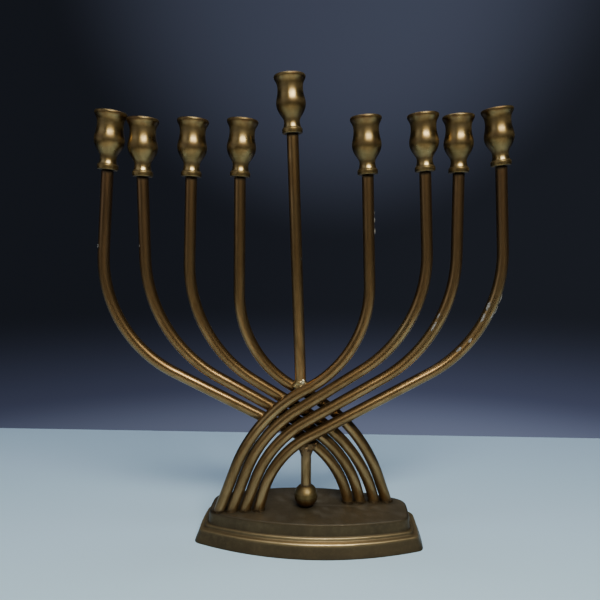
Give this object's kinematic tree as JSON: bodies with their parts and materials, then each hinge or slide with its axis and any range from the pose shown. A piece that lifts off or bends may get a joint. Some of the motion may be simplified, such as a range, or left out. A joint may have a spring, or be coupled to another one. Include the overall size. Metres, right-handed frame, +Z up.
{
  "type": "menorah",
  "caption": "Brass menorah: S-curved round arms cross above a hollow two-step base and carry turned cups, with a raised servant light in the middle.",
  "frame": {"origin": "centre of the base's flat underside, on the surface it stands on", "axes": "+Z up, +X to the right seen from the front, -Y towards the viewer in front"},
  "size_m": [0.2264, 0.0608, 0.2576],
  "materials": {
    "cast_brass": "dark aged casting, matt, rubbed bright along the ledge",
    "rod_brass": "brown aged rod, brushed, satin",
    "cup_brass": "turned, softly polished",
    "braze": "rough braze"
  },
  "bodies": {
    "frame": {"base_casting": "cast_brass", "front_arm_5": "rod_brass", "front_arm_6": "rod_brass", "front_arm_7": "rod_brass", "front_arm_8": "rod_brass", "back_arm_1": "rod_brass", "back_arm_2": "rod_brass", "back_arm_3": "rod_brass", "back_arm_4": "rod_brass", "servant_stem": "rod_brass", "drop_rod": "rod_brass", "ball_finial": "cup_brass", "upper_braze": "braze", "lower_braze": "braze", "crossing_brazes": "braze", "foot_brazes": "braze"},
    "cup_1": {"candle_cup_1": "cup_brass"},
    "cup_2": {"candle_cup_2": "cup_brass"},
    "cup_3": {"candle_cup_3": "cup_brass"},
    "cup_4": {"candle_cup_4": "cup_brass"},
    "cup_5": {"candle_cup_5": "cup_brass"},
    "cup_6": {"candle_cup_6": "cup_brass"},
    "cup_7": {"candle_cup_7": "cup_brass"},
    "cup_8": {"candle_cup_8": "cup_brass"},
    "servant_cup": {"servant_cup": "cup_brass"}
  },
  "joints": [
    {"name": "cup_1_turn", "type": "hinge", "parent": "frame", "child": "cup_1", "pos_m": [-0.1084, -0.01086, 0.207], "axis": [0.1003, 0.0123, 0.9949], "continuous": true},
    {"name": "cup_2_turn", "type": "hinge", "parent": "frame", "child": "cup_2", "pos_m": [-0.09004, -0.00861, 0.2035], "axis": [0.0381, 0.0047, 0.9993], "continuous": true},
    {"name": "cup_3_turn", "type": "hinge", "parent": "frame", "child": "cup_3", "pos_m": [-0.06413, -0.00543, 0.2035], "axis": [0.0554, 0.0068, 0.9984], "continuous": true},
    {"name": "cup_4_turn", "type": "hinge", "parent": "frame", "child": "cup_4", "pos_m": [-0.03793, -0.00221, 0.2036], "axis": [0.0623, 0.0077, 0.998], "continuous": true},
    {"name": "cup_5_turn", "type": "hinge", "parent": "frame", "child": "cup_5", "pos_m": [0.03166, -0.00032, 0.2046], "axis": [-0.0502, -0.0062, 0.9987], "continuous": true},
    {"name": "cup_6_turn", "type": "hinge", "parent": "frame", "child": "cup_6", "pos_m": [0.06292, 0.00352, 0.2064], "axis": [-0.0658, -0.0081, 0.9978], "continuous": true},
    {"name": "cup_7_turn", "type": "hinge", "parent": "frame", "child": "cup_7", "pos_m": [0.08139, 0.00579, 0.2058], "axis": [-0.0381, -0.0047, 0.9993], "continuous": true},
    {"name": "cup_8_turn", "type": "hinge", "parent": "frame", "child": "cup_8", "pos_m": [0.10481, 0.00867, 0.2098], "axis": [-0.1175, -0.0144, 0.993], "continuous": true},
    {"name": "servant_cup_turn", "type": "hinge", "parent": "frame", "child": "servant_cup", "pos_m": [-0.00904, -0.00199, 0.2264], "axis": [-0.0519, -0.0064, 0.9986], "continuous": true}
  ]
}
